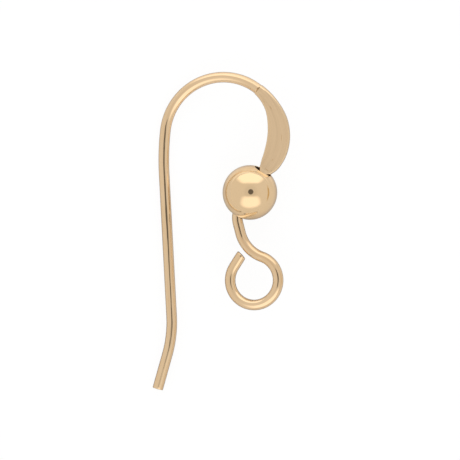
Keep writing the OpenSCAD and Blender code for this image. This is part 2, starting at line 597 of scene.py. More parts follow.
@dataclass(frozen=True)
class MetalFinish:
    """What every metal surface starts from.

    Attributes:
        name: The material's name.
    """

    name: str

    def _start(self, inputs: dict[str, Any]) -> tuple[Material, Graph, Any]:
        """Starts the material.

        Args:
            inputs: Values for the metal shader, beside its being metal.

        Returns:
            The material, its graph and its metal shader.
        """
        material, graph = start_material(self.name)
        metal = graph.add("ShaderNodeBsdfPrincipled", {"Metallic": 1.0, **inputs})
        graph.add("ShaderNodeOutputMaterial", {"Surface": metal.outputs[0]})
        return material, graph, metal


@dataclass(frozen=True)
class GoldFinish(MetalFinish):
    """A polished gold-filled surface.

    Attributes:
        pale: Its paler gold.
        deep: Its deeper gold.
        gloss: Roughness where it is polished.
        haze: Extra roughness in a hairline.
        mark_depth: Depth of the hairlines, in metres.
        hairlines: Amount of hairlines.
        ripple_depth: Depth of the ripple, in metres.
        edge: Reflectance near the outline, as a share.
        grain: Amount of fine cloud in the colour.
        cloud_haze: Extra roughness where the gold is deeper.
        painted_reflection: A paler colour painted in where it is seen in other polished gold, as a
            painted reflection.
        line_depth: Depth of the lines that drawing leaves, in metres.
        coarse_lines: Scale of the drawn lines round and along the wire, per millimetre.
        fine_lines: The same for the finer lines between them.
        fine_share: Height of the finer lines, as a share.
        line_tarnish: Share of tarnish in the drawn lines.
        tarnish: The tarnish's colour.
    """

    pale: Triple
    deep: Triple
    gloss: float
    haze: float
    mark_depth: float
    hairlines: float
    ripple_depth: float
    edge: Triple
    grain: float = 0.35
    cloud_haze: float = 0.02
    painted_reflection: Triple = (0.99, 0.87, 0.7)
    line_depth: float = 2e-5
    coarse_lines: Triple = (5.5, 0.12, 1.0)
    fine_lines: Triple = (21.0, 0.5, 1.0)
    fine_share: float = 0.16
    line_tarnish: float = 0.45
    tarnish: Triple = (0.82, 0.52, 0.27)

    def _draw_lines(self, graph: Graph, flow: Socket) -> Socket:
        """The lines that drawing leaves on the wire.

        Args:
            graph: The material's graph.
            flow: Millimetres round and along the wire.

        Returns:
            Their height, from 0 to 1.
        """
        coarse = graph.noise(graph.scaled(flow, self.coarse_lines), scale=1.0, detail=1.0)
        fine = graph.noise(graph.scaled(flow, self.fine_lines), scale=1.0, detail=2.0)
        return graph.math("MULTIPLY_ADD", fine, self.fine_share, coarse)

    def dress(self, effects: GoldEffects, pressed_look: PressedLook | None = None) -> Material:
        """Builds the material.

        Args:
            effects: The shared groups.
            pressed_look: What the dies leave on drawn wire, with its painted highlight and shade,
                or none where it isn't wire.

        Returns:
            The material.
        """
        material, graph, metal = self._start({"Specular Tint": (*self.edge, 1.0)})
        here = graph.here()
        golds = {"Pale gold": (*self.pale, 1.0), "Deep gold": (*self.deep, 1.0)}
        drift = graph.place(effects.warm_drift, {"Vector": here, **golds, "Grain": self.grain})
        marks = graph.place(effects.handling, {"Vector": here, "Amount": self.hairlines})
        ripple = graph.place(effects.ripple, {"Vector": here})
        rough = graph.math("MULTIPLY_ADD", marks["Mask"], self.haze, self.gloss)
        rough = graph.math("MULTIPLY_ADD", drift["Cloud"], self.cloud_haze, rough)
        colour = drift["Color"]
        normal = graph.bump(ripple["Height"], self.ripple_depth)
        if pressed_look:
            flow = graph.add("ShaderNodeUVMap", uv_map=RUN_MAP).outputs["UV"]
            lines = self._draw_lines(graph, flow)
            normal = graph.bump(lines, self.line_depth, normal)
            held = graph.ease(lines, start=0.6, end=0.74, high=self.line_tarnish)
            colour = graph.blend(held, colour, self.tarnish)
            pressed = graph.marked(Mark.PRESSED)
            colour = pressed_look.tint(graph, flow, colour, pressed)
            rough = graph.math("MULTIPLY_ADD", pressed, pressed_look.burnish, rough)
        # A paler colour only in reflections: a painted reflection.
        in_gloss = graph.add("ShaderNodeLightPath").outputs["Is Glossy Ray"]
        looks = {
            "Base Color": graph.blend(in_gloss, colour, self.painted_reflection),
            "Roughness": rough,
            "Normal": graph.bump(marks["Height"], self.mark_depth, normal),
        }
        graph.feed(metal, looks)
        return material


@dataclass(frozen=True)
class CutFinish(MetalFinish):
    """The sheared end of the wire, where its core shows. Its scales are per metre.

    Attributes:
        core: The core metal's colour.
        torn: Its colour where it tore off.
        tooth: Height of the shear lines, in metres.
        shear_lines: Scale of the shear lines along each axis.
        patches: Scale of the torn patches.
    """

    core: Triple = (0.9, 0.78, 0.66)
    torn: Triple = (0.66, 0.5, 0.36)
    tooth: float = 1.2e-6
    shear_lines: Triple = (30000.0, 30000.0, 9000.0)
    patches: float = 7000.0

    def dress(self) -> Material:
        """Builds the material.

        Returns:
            The material.
        """
        material, graph, metal = self._start({})
        here = graph.here()
        lines = graph.noise(graph.scaled(here, self.shear_lines), scale=1.0, detail=3.0)
        patch = graph.ease(graph.noise(here, self.patches), start=0.42, end=0.6)
        looks = {
            "Base Color": graph.blend(patch, self.core, self.torn),
            "Roughness": graph.ease(lines, start=0.3, end=0.7, low=0.22, high=0.42),
            "Normal": graph.bump(lines, self.tooth),
        }
        graph.feed(metal, looks)
        return material


@dataclass(frozen=True)
class BoreFinish(MetalFinish):
    """The unpolished, tarnished inside of the hollow ball.

    Attributes:
        dark: Its darker tarnish.
        brown: Its browner tarnish.
        patches: Scale of the patches, per metre.
    """

    dark: Triple = (0.05, 0.028, 0.016)
    brown: Triple = (0.16, 0.08, 0.035)
    patches: float = 3500.0

    def dress(self) -> Material:
        """Builds the material.

        Returns:
            The material.
        """
        material, graph, metal = self._start({})
        patch = graph.ease(graph.noise(graph.here(), self.patches, detail=3.0), start=0.4, end=0.62)
        looks = {
            "Base Color": graph.blend(patch, self.dark, self.brown),
            "Roughness": graph.ease(patch, start=0.0, end=1.0, low=0.45, high=0.65),
        }
        graph.feed(metal, looks)
        return material


def make_piece(name: PieceName, bm: BMesh, materials: Iterable[Material]) -> bpy.types.Object:
    """Turns a bmesh into an object at the origin.

    Args:
        name: The piece's name.
        bm: Its mesh, which is freed.
        materials: Its materials, in the order of the faces' indices.

    Returns:
        The object.
    """
    mesh = bpy.data.meshes.new(name.value)
    bm.to_mesh(mesh)
    bm.free()
    for material in materials:
        mesh.materials.append(material)
    piece = bpy.data.objects.new(name.value, mesh)
    bpy.context.scene.collection.objects.link(piece)
    return piece


def spin(
    bm: BMesh,
    geom: list[Any],
    centre: Vector,
    axis: Vector,
    angle: float,
    steps: int,
    merge: bool = False,
) -> list[Any]:
    """Spins geometry round an axis.

    Args:
        bm: The mesh.
        geom: Vertices and edges to spin.
        centre: A point of the axis, in metres.
        axis: The axis's direction.
        angle: The turn, in radians.
        steps: Number of steps.
        merge: Whether a full turn closes on itself.

    Returns:
        The vertices and edges at the far end.
    """
    made = bmesh.ops.spin(
        bm,
        geom=geom,
        cent=centre,
        axis=axis,
        dvec=(0.0, 0.0, 0.0),
        angle=angle,
        steps=steps,
        use_merge=merge,
        use_normal_flip=False,
        use_duplicate=False,
    )
    return made["geom_last"]


def extrude(bm: BMesh, edges: list[Edge]) -> tuple[list[Vert], list[Edge]]:
    """Extrudes a ring of edges.

    Args:
        bm: The mesh.
        edges: The ring's edges.

    Returns:
        The new ring's vertices and edges.
    """
    made = bmesh.ops.extrude_edge_only(bm, edges=edges)["geom"]
    verts = [part for part in made if isinstance(part, Vert)]
    fresh = set(verts)
    edges = [part for part in made if isinstance(part, Edge) and fresh.issuperset(part.verts)]
    return verts, edges


@dataclass
class Ring:
    """One ring of vertices round the wire.

    Attributes:
        pose: Where its centre is.
        run: Distance along the wire from the ball's centre, up the wire where positive.
        verts: Its vertices, in order round the wire.
        edges: Its edges.
    """

    pose: Pose
    run: float
    verts: list[Vert]
    edges: list[Edge]


class WireTube:
    """Round wire, drawn ring by ring along a centre line. Sizes in millimetres.

    Attributes:
        RIM_STEPS: Rings in the rounding of a cut end.
        CUT_SLOT: Material index of a cut face.
        CUT_INSETS: Width and depth of each ring that the shear leaves on it.
        LEAST_STEP: Least distance between two rings.
        MAPPED: What the mesh notes at each vertex until the wire is mapped.
    """

    RIM_STEPS = 5
    CUT_SLOT = 1
    CUT_INSETS = ((0.05, 0.0), (0.07, -0.012), (0.06, -0.006))
    LEAST_STEP = 1e-4
    MAPPED = ("girth", "half_girth", "run")

    def __init__(self, plane: WirePlane, radius: float, sides: int) -> None:
        """Starts an empty tube.

        Args:
            plane: The plane that the wire is bent in.
            radius: The wire's radius, in millimetres.
            sides: Number of vertices round the wire.
        """
        self.plane = plane
        self.radius = radius
        self.sides = sides
        self.bm = bmesh.new()
        layers = self.bm.verts.layers
        self.strand = layers.int.new("strand")
        self.girth, self.half, self.run = (layers.float.new(name) for name in self.MAPPED)
        self.pressed, self.die_mark_shade, self.flat_reach = (layers.float.new(m.value) for m in Mark)
        self.rings: list[Ring] = []

    def _angle(self, vert: Vert) -> float:
        """Angle of a vertex round the wire, from the wire's right-hand side towards the face."""
        return (vert[self.strand] + 0.5) * math.tau / self.sides

    def _from_top(self, vert: Vert) -> float:
        """Angle of a vertex from the middle of the face, to the right where positive."""
        return math.remainder(math.pi / 2 - self._angle(vert), math.tau)

    def _note(self, pose: Pose, run: float, parts: Sequence[Any]) -> Ring:
        """Keeps a new ring, with its vertices in order.

        Args:
            pose: Where its centre is.
            run: Distance along the wire.
            parts: Its vertices and edges.

        Returns:
            The ring.
        """
        verts = [part for part in parts if isinstance(part, Vert)]
        edges = [part for part in parts if isinstance(part, Edge)]
        verts.sort(key=lambda vert: vert[self.strand])
        for vert in verts:
            vert[self.girth] = self.radius * self._from_top(vert)
            vert[self.half] = self.radius * math.pi
            vert[self.run] = run
            vert[self.pressed] = 0.0
            vert[self.die_mark_shade] = 0.0
            vert[self.flat_reach] = self.radius
        ring = Ring(pose, run, verts, edges)
        self.rings.append(ring)
        return ring

    def start(self, pose: Pose) -> Ring:
        """Makes the first ring.

        Args:
            pose: Where its centre is.

        Returns:
            The ring.
        """
        centre, ahead, beside = self.plane.at(pose)
        turned = Matrix((beside, self.plane.face, -ahead)).transposed().to_4x4()
        place = Matrix.Translation(centre) @ turned
        place = place @ Matrix.Rotation(math.pi / self.sides, 4, "Z")
        verts = bmesh.ops.create_circle(
            self.bm, cap_ends=False, segments=self.sides, radius=self.radius * MM, matrix=place
        )["verts"]
        for vert in verts:
            offset = vert.co - centre
            angle = math.atan2(offset.dot(self.plane.face), offset.dot(beside))
            vert[self.strand] = round(angle / math.tau * self.sides - 0.5) % self.sides
        edges = dict.fromkeys(edge for vert in verts for edge in vert.link_edges)
        return self._note(pose, 0.0, [*verts, *edges])

    def step(self, ring: Ring, stretch: Stretch, sense: int) -> Ring:
        """Draws one more ring.

        Args:
            ring: The ring that the step starts from.
            stretch: The stretch of centre line that it follows.
            sense: 1 up the wire from the ball, or -1 down it.

        Returns:
            The new ring.
        """
        pose = stretch.end(ring.pose)
        run = ring.run + sense * stretch.length
        if stretch.turn:
            pivot = self.plane.point(ring.pose.pivot(stretch.radius, stretch.turn))
            turn = -math.radians(stretch.turn)
            parts = spin(self.bm, [*ring.verts, *ring.edges], pivot, self.plane.face, turn, 1)
            return self._note(pose, run, parts)
        verts, edges = extrude(self.bm, ring.edges)
        move = stretch.length * MM * self.plane.direction(ring.pose.heading)
        bmesh.ops.translate(self.bm, verts=verts, vec=move)
        return self._note(pose, run, [*verts, *edges])

    def draw(
        self,
        ring: Ring,
        stretches: Iterable[Stretch],
        spacing: float,
        stations: Sequence[float],
        sense: int,
    ) -> Ring:
        """Draws the wire along stretches, with rings at a spacing and at stations.

        Args:
            ring: The ring that it starts from.
            stretches: The stretches, in order.
            spacing: Widest distance between rings, in millimetres.
            stations: Distances from the ball's centre that get a ring of their own.
            sense: 1 up the wire from the ball, or -1 down it.

        Returns:
            The last ring.
        """
        begun = abs(ring.run)
        for stretch in stretches:
            ended = begun + stretch.length
            first, last = begun + self.LEAST_STEP, ended - self.LEAST_STEP
            stops = [stop for stop in stations if first < stop < last] + [ended]
            for stop in sorted(stops):
                here = abs(ring.run)
                count = max(1, math.ceil((stop - here) / spacing))
                for _ in range(count):
                    ring = self.step(ring, stretch.part((stop - here) / count), sense)
            begun = ended
        return ring

    def press(self, ring: Ring, width: float, thickness: float, bulge: float) -> None:
        """Presses a round ring to two flat faces with bulged edges.

        Args:
            ring: The ring.
            width: Width across its bulged edges, in millimetres.
            thickness: Thickness between its flats, in millimetres.
            bulge: Depth of a bulged edge, in millimetres.
        """
        centre, _, beside = self.plane.at(ring.pose)
        turned = Matrix((beside, self.plane.face, beside.cross(self.plane.face))).to_4x4()
        squeeze = (bulge / self.radius, thickness / (2 * self.radius), 1.0)
        space = turned @ Matrix.Translation(-centre)
        bmesh.ops.scale(self.bm, vec=squeeze, space=space, verts=ring.verts)
        slide = width / 2 - bulge
        side_length = math.pi / 2 * math.sqrt((bulge**2 + thickness**2 / 4) / 2)
        for side in (1, -1):
            verts = [vert for vert in ring.verts if math.cos(self._angle(vert)) * side > 0]
            bmesh.ops.translate(self.bm, verts=verts, vec=side * slide * MM * beside)
        for vert in ring.verts:
            from_top = self._from_top(vert)
            round_part = side_length * from_top / (math.pi / 2)
            vert[self.girth] = math.copysign(slide, from_top) + round_part
            vert[self.half] = 2 * slide + 2 * side_length
            vert[self.flat_reach] = slide

    def mark(self, ring: Ring, low: float, high: float) -> None:
        """Marks the dies' edge on a ring's upper face, where a dark line is painted as the shade of
        its step.

        Args:
            ring: The ring.
            low: Where the mark starts across the wire, in millimetres.
            high: Where it ends.
        """
        for vert in ring.verts:
            angle = self._angle(vert)
            across = self.radius * math.cos(angle)
            vert[self.die_mark_shade] = float(math.sin(angle) > 0 and low < across < high)

    def crease(self, least: float) -> None:
        """Makes the edges of the flats crisp.

        Args:
            least: Least mask of the pressed front where they are.
        """
        quarter = self.sides // 4
        for one, other in zip(self.rings, self.rings[1:]):
            if min(one.verts[0][self.pressed], other.verts[0][self.pressed]) < least:
                continue
            for strand in (quarter - 1, quarter, 3 * quarter - 1, 3 * quarter):
                edge = self.bm.edges.get((one.verts[strand], other.verts[strand]))
                if edge:
                    edge.smooth = False

    def cut(self, ring: Ring, rim: float, slant: float = 0.0, lean: float = 0.0) -> None:
        """Closes an end of the wire with a rounded rim and a cut face.

        Args:
            ring: The last ring.
            rim: Radius of the rim, in millimetres.
            slant: Turn of the cut in the wire's plane, in degrees clockwise.
            lean: Turn of the cut towards the face, in degrees.
        """
        centre, ahead, beside = self.plane.at(ring.pose)
        tilt = Matrix.Rotation(-math.radians(slant), 3, self.plane.face)
        tilt = tilt @ Matrix.Rotation(math.radians(lean), 3, beside)
        bmesh.ops.rotate(self.bm, cent=centre, matrix=tilt, verts=ring.verts)
        outward = tilt @ ahead
        edges = ring.edges
        reach, radius = 0.0, self.radius
        for index in range(1, self.RIM_STEPS + 1):
            angle = math.pi / 2 * index / self.RIM_STEPS
            verts, edges = extrude(self.bm, edges)
            new_reach = rim * math.sin(angle)
            new_radius = self.radius - rim * (1 - math.cos(angle))
            bmesh.ops.translate(self.bm, verts=verts, vec=(new_reach - reach) * MM * outward)
            share = new_radius / radius
            space = Matrix.Translation(-(centre + new_reach * MM * outward))
            bmesh.ops.scale(self.bm, vec=(share, share, share), space=space, verts=verts)
            reach, radius = new_reach, new_radius
        for edge in edges:
            edge.smooth = False
        cap = bmesh.ops.contextual_create(self.bm, geom=edges)["faces"]
        for width, depth in self.CUT_INSETS:
            bmesh.ops.inset_region(
                self.bm, faces=cap, thickness=width * MM, depth=depth * MM, use_even_offset=True
            )
        for face in cap:
            face.material_index = self.CUT_SLOT

    def finish(self) -> BMesh:
        """Maps the wire in millimetres round and along it, and turns its faces outwards.

        Returns:
            The wire's mesh.
        """
        flow = self.bm.loops.layers.uv.new(RUN_MAP)
        for face in self.bm.faces:
            face.smooth = True
            girths = [loop.vert[self.girth] for loop in face.loops]
            across_seam = max(girths) - min(girths) > face.verts[0][self.half]
            for loop, girth in zip(face.loops, girths):
                if across_seam and girth < 0:
                    girth += 2 * loop.vert[self.half]
                loop[flow].uv = (girth, loop.vert[self.run])
        bmesh.ops.recalc_face_normals(self.bm, faces=self.bm.faces)
        self.bm.verts.layers.int.remove(self.strand)
        for name in self.MAPPED:
            self.bm.verts.layers.float.remove(self.bm.verts.layers.float[name])
        return self.bm


def smooth_between(rows: Sequence[Pair], share: float) -> float:
    """Reads a table of shares without kinks or overshoot.

    Args:
        rows: Pairs of share along and share of spread, in order.
        share: Where the table is read.

    Returns:
        The share of spread there.
    """
    if share <= rows[0][0]:
        return rows[0][1]
    slopes = [(b[1] - a[1]) / (b[0] - a[0]) for a, b in zip(rows, rows[1:])]
    tangents = [slopes[0]]
    for before, after in zip(slopes, slopes[1:]):
        steady = before * after > 0
        tangents.append(2 * before * after / (before + after) if steady else 0.0)
    tangents.append(slopes[-1])
    for index, (low, high) in enumerate(zip(rows, rows[1:])):
        if share <= high[0]:
            span = high[0] - low[0]
            t = (share - low[0]) / span
            return (
                (1 + 2 * t) * (1 - t) ** 2 * low[1]
                + t * (1 - t) ** 2 * span * tangents[index]
                + t * t * (3 - 2 * t) * high[1]
                + t * t * (t - 1) * span * tangents[index + 1]
            )
    return rows[-1][1]


@dataclass(frozen=True)
class PressedFront:
    """The front of the arch, which dies press flat from round wire. Sizes in millimetres.

    It is told from the ball upwards. Above the mouth of the ball's hole it widens to its widest
    place and narrows again to a step at the dies' edge.

    Attributes:
        gauge: The round wire's diameter.
        mouth: Distance from the ball's centre to the hole's mouth.
        seat_width: Its width in the mouth.
        length: Its length from the mouth to the dies' edge.
        peak: Distance from the mouth to its widest place.
        peak_width: Its width there.
        hidden: Length that it runs on in the hole.
        lead: Distance from its hidden end to the last round ring.
        spacing: Distance between its rings.
        fade: Width beyond thickness at which it looks fully pressed.
        crease_from: How pressed it looks where the flats' edges turn crisp.
        die_edge: Share of the widening that is left at the dies' edge.
        die_step: Length of the step there.
        die_mark_shade: Where the dark line at the dies' edge, the die's mark with painted shade of
            its step, starts and ends across the wire.
        thinnest_bulge: Least depth of its free edge, as a share of half its thickness.
        fullest_bulge: Depth of its free edge, as a share of the round wire's.
        below_peak: Shares of the way to the widest place, and of the widening there.
        above_peak: Shares of the way on to the dies' edge, and of the widening there.
    """

    gauge: float
    mouth: float = 1.457
    seat_width: float = 0.72
    length: float = 5.21
    peak: float = 1.75
    peak_width: float = 1.33
    hidden: float = 0.35
    lead: float = 0.03
    spacing: float = 0.06
    fade: float = 0.3
    crease_from: float = 0.6
    die_edge: float = 0.035
    die_step: float = 0.05
    die_mark_shade: Pair = (-0.04, 0.13)
    thinnest_bulge: float = 0.35
    fullest_bulge: float = 1.3
    below_peak: tuple[Pair, ...] = (
        (0.0, 0.0), (0.05, 0.13), (0.12, 0.25), (0.21, 0.467), (0.35, 0.67),
        (0.5, 0.8), (0.65, 0.908), (0.82, 0.978), (1.0, 1.0),
    )
    above_peak: tuple[Pair, ...] = (
        (0.0, 1.0), (0.088, 0.99), (0.177, 0.95), (0.254, 0.9), (0.331, 0.835), (0.408, 0.745),
        (0.486, 0.62), (0.563, 0.505), (0.64, 0.385), (0.718, 0.3), (0.795, 0.22), (0.872, 0.16),
        (0.949, 0.1), (1.0, 0.065),
    )

    def _top(self) -> float:
        """Distance up from the ball's centre to the dies' edge."""
        return self.mouth + self.length

    def _thickness(self, width: float) -> float:
        """Works out the thickness that keeps the round wire's area.

        Args:
            width: The pressed width.

        Returns:
            The thickness, which is the gauge where nothing is pressed.
        """
        corner = 1 - math.pi / 4
        if width <= self.gauge:
            return self.gauge
        area = corner * math.pi * self.gauge**2
        return (width - math.sqrt(width * width - area)) / (2 * corner)

    def _bulge(self, thickness: float) -> float:
        """Works out how deep the wire's free edge bulges.

        Args:
            thickness: The pressed thickness.

        Returns:
            The bulge's depth.
        """
        half, radius = thickness / 2, self.gauge / 2
        free = self.fullest_bulge * (radius - math.sqrt(max(0.0, radius * radius - half * half)))
        return min(half, max(self.thinnest_bulge * half, free))

    def _width(self, run: float) -> float:
        """Width of the wire at a distance up from the ball's centre.

        Args:
            run: The distance.

        Returns:
            The width, which is the gauge outside the pressed front.
        """
        rise = run - self.mouth
        if rise < 0:
            share = max(0.0, 1 + rise / self.hidden)
            edge = self.gauge + self.die_edge * (self.peak_width - self.gauge)
            return edge + share * (self.seat_width - edge) if share else self.gauge
        if rise <= self.peak:
            share = smooth_between(self.below_peak, rise / self.peak)
            return self.seat_width + share * (self.peak_width - self.seat_width)
        if rise > self.length + NEAR:
            return self.gauge
        beyond = (rise - self.peak) / (self.length - self.peak)
        share = smooth_between(self.above_peak, beyond)
        return self.gauge + share * (self.peak_width - self.gauge)

    def stations(self) -> list[float]:
        """Works out where the pressed front gets rings.

        Returns:
            Distances up from the ball's centre.
        """
        top = self._top()
        low = self.mouth - self.hidden
        count = round((top - low) / self.spacing)
        even = [low + (top - low) * index / count for index in range(count)]
        step = self.die_step
        return [low - self.lead, *even, top - step / 2, top, top + step / 2, top + step]

    def press(self, tube: WireTube) -> None:
        """Presses the front of the arch and marks the dies' edge.

        Args:
            tube: The round wire.
        """
        for ring in tube.rings:
            width = self._width(ring.run)
            if width > self.gauge:
                thickness = self._thickness(width)
                tube.press(ring, width, thickness, self._bulge(thickness))
                for vert in ring.verts:
                    vert[tube.pressed] = min(1.0, (width - thickness) / self.fade)
            # Marks where the dark line of painted shade at the dies' step goes.
            if abs(ring.run - self._top()) < 0.6 * self.die_step:
                tube.mark(ring, *self.die_mark_shade)
        tube.crease(self.crease_from)


@dataclass(frozen=True)
class BentWire:
    """The ear wire's one piece of wire: tail, leg, arch, pressed front, stem and drop loop.

    Sizes are in millimetres and turns in degrees. A bend is given by its radius and its turn, and
    turns clockwise on the way from the ball where it is positive.

    Attributes:
        gauge: The wire's diameter.
        lean: Heading of the wire in the ball.
        neck: Straight wire from the ball's centre to the front of the arch.
        front: Bend of the arch's front.
        back: Bend of the arch's back.
        shoulder: Slight bend at the top of the leg.
        leg: The straight leg.
        slack: Slack bend between leg and tail.
        tail: The straight tail with its tip.
        tip_rim: Rounding of the tail's tip.
        kink_drop: Straight wire from the ball's centre down to the kink.
        kink: Bend under the ball.
        stem: The straight stem.
        sweep: Bend from the stem to the loop.
        loop: Bend of the drop loop.
        loop_gap: Gap between the loop's end and the sweep.
        cut_bevel: Rounding of the loop's cut end.
        cut_slant: Turn of its cut face in the wire's plane.
        cut_lean: Turn of its cut face towards the viewer.
        sides: Number of vertices round the wire.
        spacing: Widest distance between rings.
    """

    gauge: float = 0.6
    lean: float = 34.7
    neck: float = 1.83
    front: Stretch = Stretch.bend(3.17, -106.2)
    back: Stretch = Stretch.bend(3.4, -103.6)
    shoulder: Stretch = Stretch.bend(15.0, -9.4)
    leg: float = 8.05
    slack: Stretch = Stretch.bend(6.5, 19.2)
    tail: float = 2.05
    tip_rim: float = 0.03
    kink_drop: float = 0.84
    kink: Stretch = Stretch.bend(1.25, -50.6)
    stem: float = 0.58
    sweep: Stretch = Stretch.bend(1.95, -56.5)
    loop: Stretch = Stretch.bend(1.4, 284.0)
    loop_gap: float = 0.2
    cut_bevel: float = 0.06
    cut_slant: float = 14.0
    cut_lean: float = -6.0
    sides: int = 48
    spacing: float = 0.12

    def up_stretches(self) -> list[Stretch]:
        """The wire's centre line from the ball up.

        Returns:
            Its stretches, the last one up to the rim of the tail's tip.
        """
        tail = Stretch(self.tail - self.tip_rim)
        arch = [Stretch(self.neck), self.front, self.back]
        return [*arch, self.shoulder, Stretch(self.leg), self.slack, tail]

    def down_stretches(self) -> list[Stretch]:
        """The stretches from the ball down to the rim of the loop's cut end."""
        bends = [Stretch(self.kink_drop), self.kink, Stretch(self.stem), self.sweep, self.loop]
        return [*bends, Stretch(self._loop_end(bends) - self.cut_bevel)]

    def _loop_end(self, bends: Sequence[Stretch]) -> float:
        """Length of the loop's straight end, which stops short of the stem's sweep.

        Args:
            bends: The stretches before it.

        Returns:
            The length.
        """
        pose = Pose(0.0, 0.0, self.lean + 180)
        centre = Vector((0.0, 0.0))
        for stretch in bends:
            if stretch is self.sweep:
                centre = pose.pivot(stretch.radius, stretch.turn)
            pose = stretch.end(pose)
        corner = pose.spot() + self.gauge / 2 * pose.beside() - centre
        stop = self.sweep.radius + self.gauge / 2 + self.loop_gap
        along = corner.dot(pose.ahead())
        return -along - math.sqrt(along * along - corner.length_squared + stop * stop)

    def rest_heading(self) -> float:
        """Works out the line that the wire rests on, from the tail's tip to the shoulder.

        Returns:
            Its heading.
        """
        poses = [Pose(0.0, 0.0, self.lean)]
        for stretch in self.up_stretches():
            poses.append(stretch.end(poses[-1]))
        shoulder = poses[3].pivot(self.shoulder.radius, self.shoulder.turn)
        tip = Stretch(self.tip_rim).end(poses[-1]).spot()
        reach = shoulder - tip
        sideways = math.asin(self.shoulder.radius / reach.length)
        return math.degrees(math.atan2(reach.x, reach.y) - sideways)

    def build(self, plane: WirePlane, effects: GoldEffects) -> bpy.types.Object:
        """Builds and dresses the wire.

        Args:
            plane: The plane that it is bent in.
            effects: The shared shader groups.

        Returns:
            The piece.
        """
        tube = WireTube(plane, self.gauge / 2, self.sides)
        first = tube.start(Pose(0.0, 0.0, self.lean))
        down = Ring(Pose(0.0, 0.0, self.lean + 180), 0.0, first.verts, first.edges)
        front = PressedFront(self.gauge)
        tip = tube.draw(first, self.up_stretches(), self.spacing, front.stations(), 1)
        end = tube.draw(down, self.down_stretches(), self.spacing, [], -1)
        front.press(tube)
        tube.cut(tip, self.tip_rim)
        tube.cut(end, self.cut_bevel, self.cut_slant, self.cut_lean)
        gold = GoldFinish(
            "drawn_gold",
            pale=(0.975, 0.715, 0.445),
            deep=(0.965, 0.695, 0.418),
            gloss=0.05,
            haze=0.08,
            mark_depth=1e-7,
            hairlines=0.5,
            ripple_depth=8e-7,
            edge=(0.45, 0.5, 0.6),
        )
        looks = [gold.dress(effects, PressedLook()), CutFinish("sheared_end").dress()]
        piece = make_piece(PieceName.WIRE, tube.finish(), looks)
        even = piece.modifiers.new("even_shading", "WEIGHTED_NORMAL")
        even.keep_sharp = True
        return piece


@dataclass(frozen=True)
class Bore:
    """The line of the hole through the ball.

    Attributes:
        middle: The ball's centre, in metres in the row frame.
        axis: Direction up the hole.
        beside: Direction beside it, in the wire's plane.
        across: Direction across both.
    """

    middle: Vector
    axis: Vector
    beside: Vector
    across: Vector

    def out(self, point: Vector) -> float:
        """Distance of a point from the hole's axis, in metres."""
        offset = point - self.middle
        return (offset - offset.dot(self.axis) * self.axis).length


